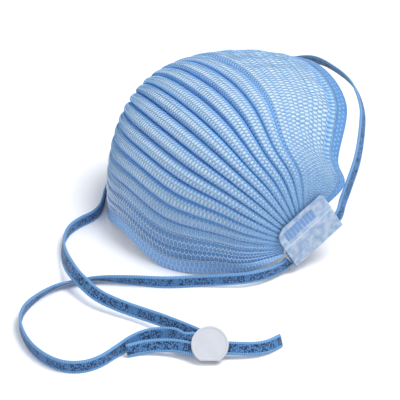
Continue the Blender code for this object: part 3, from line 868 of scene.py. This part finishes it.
# %% Rim bands
FLANGE_THICKNESS = 1.6
FLANGE_FLARE = 1.2
DOT_PITCH = 2.7
DOT_RADIUS = 0.62
DOT_DEPTH = 0.35
DOT_ROWS = (0.42, 0.74)
FLANGE_COLUMNS = 560
FLANGE_ROWS = 24
EDGE_SHARE = 0.45
NARROW_GAP = 0.002
PRESS_EDGE = 1.35
DOT_FADE_WIDTH = 4.0
EDGE_ROUNDING = 0.4
ROUNDING_SHARE = 0.07
FULL_FROM, FULL_TO = 0.06, 0.97
print("pressed dots:", round(1 / DOT_PITCH, 2), "per mm")


# %% Band on the rim
def rim_band(name, free_t, inner_t):
    """A welded band from the cup's free edge inwards."""
    piece = grid(name + "_band", FLANGE_COLUMNS, FLANGE_ROWS)
    flat = points_of(piece)
    inner = flat[:, 1] if inner_t > free_t else 1 - flat[:, 1]
    s = np.interp(flat[:, 0] * side_run[-1], side_run, fine_s)
    t = free_t + (inner_t - free_t) * inner
    rim_run = running_length(cup_point(fine_s, np.full_like(fine_s, free_t)))
    run = np.interp(s, fine_s, rim_run)
    width = np.linalg.norm(cup_point(s, np.full_like(s, free_t)) - cup_point(s, np.full_like(s, inner_t)),
                           axis=1)
    pressed = np.zeros(len(s))
    for number, row in enumerate(DOT_ROWS):
        beside = (run / DOT_PITCH + number / 2 + 0.5) % 1 - 0.5
        reach = np.hypot(beside * DOT_PITCH, (inner - row) * width)
        pressed = np.maximum(pressed, np.clip(PRESS_EDGE - reach / DOT_RADIUS, 0, 1))
    pressed = pressed * pressed * (3 - 2 * pressed) * np.clip(width / DOT_FADE_WIDTH - 0.5, 0, 1)
    rounding = EDGE_ROUNDING * np.exp(-((inner / ROUNDING_SHARE) ** 2))
    height = FLANGE_FLARE * (1 - s * s) * (1 - inner) - pressed * DOT_DEPTH - rounding
    move_points(piece, off_cup(s, t, height))
    set_attribute(piece, "weld", pressed)
    set_uv(piece, flat[:, 0] * CELL_COLUMNS, inner * width / CELL_HEIGHT)
    set_attribute(piece, "chin", chin_share(t))
    thicken(piece, FLANGE_THICKNESS, -1.0, (inner > FULL_FROM) & (inner < FULL_TO), EDGE_SHARE)
    piece.data.materials.append(welded)
    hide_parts(name)
    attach(piece, "mask")
    print(piece.name, "is", round(rim_run[-1]), "mm long and up to", round(width.max(), 1), "mm wide")


# %% Rim material
# Heat-welded polypropylene: stiffer and glossier than the web, streaky, with the netting melted into it.
NET_SHOWS = 0.6
CHIN_PALENESS = 0.6
DOT_PALENESS = 0.4
RIM_STREAK_MM = 3.0
RIM_GRAIN_MM = 0.6

welded, tree, shader = new_material("heat_welded_polypropylene", Roughness=0.45, IOR=1.49, Coat_Weight=0.15)
weld, near_chin = (add_node(tree, "Attribute", out="Fac", attribute_name=name) for name in ("weld", "chin"))
strand_distance = nearest_strand(tree, add_node(tree, "UVMap"))[0]
melted = add_node(tree, "MapRange", {"Value": strand_distance, "From Min": 0.40, "From Max": 0.10}, **SMOOTH)
chin_pale, netted, dotted = (add_node(tree, "Math", [share, size], operation="MULTIPLY")
                             for share, size in ((near_chin, CHIN_PALENESS), (near_chin, NET_SHOWS),
                                                 (weld, DOT_PALENESS)))
melted_share = add_node(tree, "Math", [netted, melted], operation="MULTIPLY")
where = add_node(tree, "TexCoord", out="Object")
streaks = add_node(tree, "TexNoise", {"Vector": where, "Scale": 1 / (RIM_STREAK_MM * MM), "Detail": 4.0})
rim_tone = coated(tree, "#3770AA", (streaks, "#5C90C2"), (chin_pale, "#86B4E6"),
                  (melted_share, "#B4D2F2"), (dotted, "#B9D3F3"))
rim_grain = add_node(tree, "TexNoise", {"Vector": where, "Scale": 1 / (RIM_GRAIN_MM * MM), "Detail": 3.0})
finish(shader, rim_tone, (rim_grain, 0.35, 0.12), (melted, 0.5, 0.15))

rim_band("chin_flange", 0.0, FIRST_T - NARROW_GAP)
rim_band("nose_flange", 1.0, LAST_T + NARROW_GAP)

# %% [markdown]
# ## Liner
# The inside is a soft white nonwoven, heat formed over the same mould. It follows the pleats only faintly.

# %% Liner
LINER_DEPTH = 5.0
LINER_THICKNESS = 0.6
LINER_REACH = 0.82
LINER_COLUMNS = 150
LINER_ROWS = 150
LINER_MARGIN = 0.02
LINER_WAVE = 0.2

liner = grid("soft_liner", LINER_COLUMNS, LINER_ROWS)
flat = points_of(liner)
liner_s = (flat[:, 0] * 2 - 1) * LINER_REACH
low, high = FIRST_T + LINER_MARGIN, LAST_T - LINER_MARGIN
liner_t = low + (high - low) * flat[:, 1]
wave = LINER_WAVE * np.sin(2 * np.pi * pleat_number(liner_t)) * (pleat_number(liner_t) < GROOVES - 1)
move_points(liner, off_cup(liner_s, liner_t, -(LINER_DEPTH + wave)))
thicken(liner, LINER_THICKNESS)
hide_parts("inner_liner")
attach(liner, "mask")

# %% Liner material
# Spunbond liner: soft, white and very matt, with a faint pattern of bonding points.
BOND_PITCH_MM = 1.6
LINT_MM = 0.8

lining, tree, shader = new_material("spunbond_liner", Roughness=0.9, Sheen_Weight=0.3)
where = add_node(tree, "TexCoord", out="Object")
lint = add_node(tree, "TexNoise", {"Vector": where, "Scale": 1 / (LINT_MM * MM), "Detail": 5.0})
bonds = add_node(tree, "TexVoronoi", {"Vector": where, "Scale": 1 / (BOND_PITCH_MM * MM)}, "Distance",
                 feature="SMOOTH_F1")
quilted = add_node(tree, "Math", [lint, 0.5, bonds], operation="MULTIPLY_ADD")
finish(shader, coated(tree, "#E4E9F0", (lint, "#F6F8FB")), (quilted, 0.6, 0.25))
liner.data.materials.append(lining)

# %% [markdown]
# ## Nose foam
# A strip of soft grey foam under the nose rim seals the gap beside the nose. It is a crowned pad: thick in
# the middle, rolled over at its edges.

# %% Nose foam
FOAM_DEPTH = 6.2
FOAM_THICKNESS = 4.0
FOAM_REACH = 0.42
FOAM_T = (0.86, 0.93)
FOAM_COLUMNS = 90
FOAM_ROWS = 18
FOAM_EDGE_SHARE = 0.15
THICKNESS_STEPS = 20

foam = grid("foam_strip", FOAM_COLUMNS, FOAM_ROWS)
flat = points_of(foam)
foam_s = (flat[:, 0] * 2 - 1) * FOAM_REACH
foam_t = FOAM_T[0] + (FOAM_T[1] - FOAM_T[0]) * flat[:, 1]
move_points(foam, off_cup(foam_s, foam_t, -FOAM_DEPTH))
crown_share = np.sqrt(np.maximum(1 - np.abs(flat[:, 1] * 2 - 1) ** 4, 0))
crown_share *= np.sqrt(np.maximum(1 - np.abs(flat[:, 0] * 2 - 1) ** 24, 0))
thicken(foam, FOAM_THICKNESS, -1.0, crown_share, FOAM_EDGE_SHARE, THICKNESS_STEPS)
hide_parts("nose_foam")
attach(foam, "mask")
print("nose foam:", FOAM_THICKNESS, "mm thick in the middle")

# %% Foam material
# Open-cell polyurethane foam: dark, dull and full of small pores.
PORE_MM = 0.5

foamed, tree, shader = new_material("polyurethane_foam", Roughness=0.95)
where = add_node(tree, "TexCoord", out="Object")
pores = add_node(tree, "TexVoronoi", {"Vector": where, "Scale": 1 / (PORE_MM * MM)}, "Distance", feature="F1")
finish(shader, coated(tree, "#2E3238", (pores, "#5A6068")), (pores, 0.8, 0.25))
foam.data.materials.append(foamed)

# %% [markdown]
# ## Strap clips
# Each clip is one leaf of frosted polypropylene, welded to the cup and folded back on itself into a
# tunnel for the strap. The weld is a shallow panel with a row of short ribs. The leaf is a fine grid
# carried along the folded section, with its front corners rounded off and the ribs pressed into it.

# %% Clip shape
CLIP_LENGTH = 30.0
CLIP_RISE = 3.0
CLIP_WALL = 0.9
CLIP_OUTER_X = 65.7
CLIP_INNER_X = 62.3
CLIP_SECTION = ((0, 11.2), (0, 10.1), (0, 8.1), (0, 0.0), (0, -9.0), (0, -11.3), (0.12, -12.9),
                (0.5, -13.7), (0.88, -12.9), (1, -11.3), (1, -5.0))
CLIP_COLUMNS = 110
CLIP_ROWS = 120
CORNER_RADII = (6.0, 2.5)
FRONT_EDGE = 11.2
RIB_PITCH = 2.05
RIB_COUNT = 9
RIB_CENTRE = -2.5
RIB_HALF_WIDTH = 0.72
RIB_LOW, RIB_HIGH = 2.6, 9.2
RIB_HEIGHT = 0.35
FOLD_LINE = 0.2
FOLD_WIDTH = 0.45
FOLD_PRESS = 0.25
PANEL_PRESS = 0.30
PANEL_END = 0.5
ROW_END = 0.3
RIB_SOFTNESS = 0.25
print("rib row:", round(RIB_COUNT * RIB_PITCH, 1), "mm long")


# %% Clip leaf
def strap_clip(name, side):
    """A clip on one side of the mask; CLIP_SECTION is how far in and how far forward the leaf goes."""
    piece = grid(name + "_leaf", CLIP_COLUMNS, CLIP_ROWS)
    flat = points_of(piece)
    corners = np.array(CLIP_SECTION)
    corners[:, 0] = CLIP_OUTER_X + (CLIP_INNER_X - CLIP_OUTER_X) * corners[:, 0]
    run = running_length(corners)
    along = flat[:, 1] * run[-1]
    x = np.interp(along, run, corners[:, 0])
    forward = np.interp(along, run, corners[:, 1])
    radius = np.where(flat[:, 0] < 0.5, CORNER_RADII[0], CORNER_RADII[1])
    from_front = np.clip(radius - (FRONT_EDGE - forward), 0, radius)
    trim = radius - np.sqrt(radius ** 2 - from_front ** 2)
    trim = np.where(along < run[5], trim, 0)
    rise = (flat[:, 0] * 2 - 1) * (CLIP_LENGTH / 2 - trim)
    outside = along < run[4]
    off_centre = rise - RIB_CENTRE
    beside = np.abs((off_centre / RIB_PITCH + 0.5) % 1 - 0.5) * RIB_PITCH
    in_row = np.clip((RIB_COUNT * RIB_PITCH / 2 - np.abs(off_centre)) / ROW_END, 0, 1)
    in_row *= np.clip((forward - RIB_LOW) / PANEL_END, 0, 1)
    in_row *= np.clip((RIB_HIGH - forward) / PANEL_END, 0, 1)
    rib = np.clip((RIB_HALF_WIDTH - beside) / RIB_SOFTNESS, 0, 1) * in_row
    fold = np.exp(-(((forward - FOLD_LINE) / FOLD_WIDTH) ** 2))
    press = (RIB_HEIGHT * rib - PANEL_PRESS * in_row - FOLD_PRESS * fold) * outside
    points = place(np.stack([side * (x + press), CLIP_RISE + rise, forward], axis=1))
    move_points(piece, points)
    if side < 0:
        piece.data.flip_normals()
    thicken(piece, CLIP_WALL, 0.0)
    set_attribute(piece, "rib", rib * outside)
    # The fold attribute carries a painted highlight along the folded edge.
    set_attribute(piece, "fold", fold * outside)
    piece.data.materials.append(frosted)
    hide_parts(name)
    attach(piece, "mask")
    print(piece.name, "section runs", round(run[-1], 1), "mm")


# %% Clip material
# Frosted polypropylene: milky, half clear, with a soft shine, cloudy patches and a painted highlight along
# the fold.
CLOUD_MM = 3.0
FROST_MM = 0.7

frosted, tree, shader = new_material("frosted_polypropylene", Roughness=0.38, IOR=1.49,
                                     Transmission_Weight=0.35, Coat_Weight=0.2, Coat_Roughness=0.3)
rib_here, fold_highlight = (add_node(tree, "Attribute", out="Fac", attribute_name=name)
                       for name in ("rib", "fold"))
where = add_node(tree, "TexCoord", out="Object")
cloud = add_node(tree, "TexNoise", {"Vector": where, "Scale": 1 / (CLOUD_MM * MM), "Detail": 4.0})
cloud_share = add_node(tree, "MapRange", {"Value": cloud, "From Min": 0.35, "From Max": 0.65}, **SMOOTH)
# The pale fold line is a painted highlight where the folded edge catches light.
milky = coated(tree, "#93B3D6", (cloud_share, "#C6D6E8"), (rib_here, "#6D9DD8"), (fold_highlight, "#DCE6F5"))
frosting = add_node(tree, "TexNoise", {"Vector": where, "Scale": 1 / (FROST_MM * MM), "Detail": 3.0})
finish(shader, milky, (frosting, 0.2, 0.06))

strap_clip("strap_clip_right", 1)
strap_clip("strap_clip_left", -1)

# %% [markdown]
# ## Clasp
# The clasp is a small moulded buckle: a housing that grips the strap's ends, and a round lid that swings
# on a pin. The lid is a disc with one flat side. Bevels round its edge, and an inset leaves a thin band
# round the face. The housing, bar and pin are already the right shape and only need their plastic.

# %% Clasp plastic
# Moulded acetal: plain, smooth and slightly waxy, so a little light sinks in before it comes back.
FLOW_MM = 6.0
MOULD_GRAIN_MM = 0.35

moulded, tree, shader = new_material("moulded_acetal", Roughness=0.4, IOR=1.48, Subsurface_Weight=0.1,
                                     Subsurface_Scale=1.5 * MM)
where = add_node(tree, "TexCoord", out="Object")
flow = add_node(tree, "TexNoise", {"Vector": where, "Scale": 1 / (FLOW_MM * MM), "Detail": 2.0})
mould_grain = add_node(tree, "TexNoise", {"Vector": where, "Scale": 1 / (MOULD_GRAIN_MM * MM), "Detail": 2.0})
finish(shader, coated(tree, "#BABDC4", (flow, "#C8CAD0")), (mould_grain, 0.18, 0.05))
clasp_nodes = [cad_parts[name] for name in ("clasp_base", "clasp_grip_bar", "clasp_hinge_pin")]
for node in clasp_nodes:
    node.data.materials.clear()
    node.data.materials.append(moulded)

# %% Lid disc
LID_RADIUS = 8.3
LID_CHORD = 7.2
LID_THICKNESS = 1.5
LID_LIFT = 2.7
BAND_WIDTH = 0.9
BAND_STEP = 0.2
LID_SEGMENTS = 72
MERGE_WITHIN = 0.1
LID_ROUNDING = 0.35
SQUARE_EDGE = 1.2

form = bmesh.new()
bmesh.ops.create_cone(form, cap_ends=True, segments=LID_SEGMENTS, radius1=LID_RADIUS, radius2=LID_RADIUS,
                      depth=LID_THICKNESS)
bmesh.ops.bisect_plane(form, geom=form.verts[:] + form.edges[:] + form.faces[:],
                       plane_co=(0, -LID_CHORD, 0), plane_no=(0, -1, 0), clear_outer=True)
bmesh.ops.holes_fill(form, edges=[edge for edge in form.edges if edge.is_boundary])
bmesh.ops.remove_doubles(form, verts=form.verts, dist=MERGE_WITHIN)
bmesh.ops.translate(form, vec=(0, 0, LID_LIFT + LID_THICKNESS / 2), verts=form.verts)
face = [f for f in form.faces if f.normal.z > 0.9]
bmesh.ops.inset_region(form, faces=face, thickness=BAND_WIDTH, use_even_offset=True)
bmesh.ops.inset_region(form, faces=face, thickness=BAND_STEP, depth=-BAND_STEP, use_even_offset=True)
rim_edges = [edge for edge in form.edges if edge.calc_face_angle(0) > SQUARE_EDGE]
bmesh.ops.bevel(form, geom=rim_edges, offset=LID_ROUNDING, affect="EDGES", segments=4, profile=0.5,
                material=-1)
print("lid disc:", len(form.faces), "faces")

# %% Lid knuckles
HINGE_RISE = -5.8
HINGE_DEPTH = 2.0
KNUCKLE_RADIUS = 1.4
KNUCKLE_BORE = 0.9
KNUCKLE_LENGTH = 2.4
KNUCKLE_OFFSET = 3.3
KNUCKLE_SEGMENTS = 24

for side in (-1, 1):
    rings = []
    for radius in (KNUCKLE_RADIUS, KNUCKLE_BORE):
        for end in (-1, 1):
            ring = bmesh.ops.create_circle(form, segments=KNUCKLE_SEGMENTS, radius=radius)["verts"]
            turn = Matrix.Rotation(math.pi / 2, 4, "Y")
            spot = (side * KNUCKLE_OFFSET + end * KNUCKLE_LENGTH / 2, HINGE_RISE, HINGE_DEPTH)
            bmesh.ops.transform(form, matrix=Matrix.Translation(spot) @ turn, verts=ring)
            rings.append([edge for edge in form.edges if edge.verts[0] in ring and edge.verts[1] in ring])
    outer_low, outer_high, inner_low, inner_high = rings
    for pair in ((outer_low, outer_high), (outer_high, inner_high), (inner_high, inner_low),
                 (inner_low, outer_low)):
        bmesh.ops.bridge_loops(form, edges=pair[0] + pair[1])
bmesh.ops.recalc_face_normals(form, faces=form.faces)
print("with its knuckles:", len(form.faces), "faces")

# %% Lid in its place
clasp_turn = Matrix([list(row) for row in CLASP]).transposed().to_4x4()
clasp_place = Matrix.Translation(Vector(CLASP_CENTRE) * MM) @ clasp_turn @ Matrix.Scale(MM, 4)
bmesh.ops.transform(form, matrix=clasp_place, verts=form.verts)
lid = to_object("clasp_disc", form)
lid.data.set_sharp_from_angle(angle=math.radians(30))
lid.data.materials.append(moulded)
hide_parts("clasp_lid")
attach(lid, "lid")
print("clasp lid:", len(lid.data.polygons), "faces")

# %% [markdown]
# ## Strap lengths
# The lengths of the strap's three long stretches, in mm.

# %% Strap lengths
print("cord lengths, in mm:", [round(length / MM) for length in (crown_length, right_length, left_length)])

# %% [markdown]
# ## Table and light
# A pale seamless table, one large soft light high on the camera's right, a weak one low on its left, and
# a bright even surround, so that shadows stay short and soft.

# %% Floor
# White paper board: dead matt, so it only catches the soft shadow.
FLOOR_SIZE = 6
PAPER_PATCH_MM = 30.0

bpy.ops.mesh.primitive_plane_add(size=FLOOR_SIZE, location=(0, 0, 0))
floor = bpy.context.object
floor.name = "table_top"
paper, tree, shader = new_material("white_paper", Roughness=0.9)
where = add_node(tree, "TexCoord", out="Object")
speck = add_node(tree, "TexNoise", {"Vector": where, "Scale": 1 / (PAPER_PATCH_MM * MM)})
finish(shader, coated(tree, "#FAFBFE", (speck, "#FFFFFF")))
floor.data.materials.append(paper)

# %% Lights
KEY_POWER = 9.0
FILL_POWER = 2.0
SURROUND = 0.63


def soft_light(name, direction, distance, size, power, colour):
    """An area light that looks at the mask from a direction."""
    data = bpy.data.lights.new(name, "AREA")
    data.shape = "DISK"
    data.size = size
    data.energy = power
    data.color = hex_colour(colour)[:3]
    lamp = bpy.data.objects.new(name, data)
    bpy.context.scene.collection.objects.link(lamp)
    way = Vector(direction).normalized()
    lamp.location = pivot + way * distance
    lamp.rotation_euler = way.to_track_quat("Z", "Y").to_euler()
    print(name, "light:", power, "W")


above = Vector((0, 0, 1))
toward = Vector((to_camera.x, to_camera.y, 0)).normalized()
soft_light("key", toward * 0.15 + picture_right * 0.45 + above * 1.0, 1.0, 0.6, KEY_POWER, "#FFFFFF")
soft_light("fill", toward * 0.9 - picture_right * 0.5 + above * 0.7, 1.2, 0.9, FILL_POWER, "#F2F6FF")
world = bpy.data.worlds.new("surround")
world.use_nodes = True
sky = world.node_tree.nodes["Background"]
sky.inputs["Color"].default_value = hex_colour("#F8FAFF")
sky.inputs["Strength"].default_value = SURROUND
bpy.context.scene.world = world
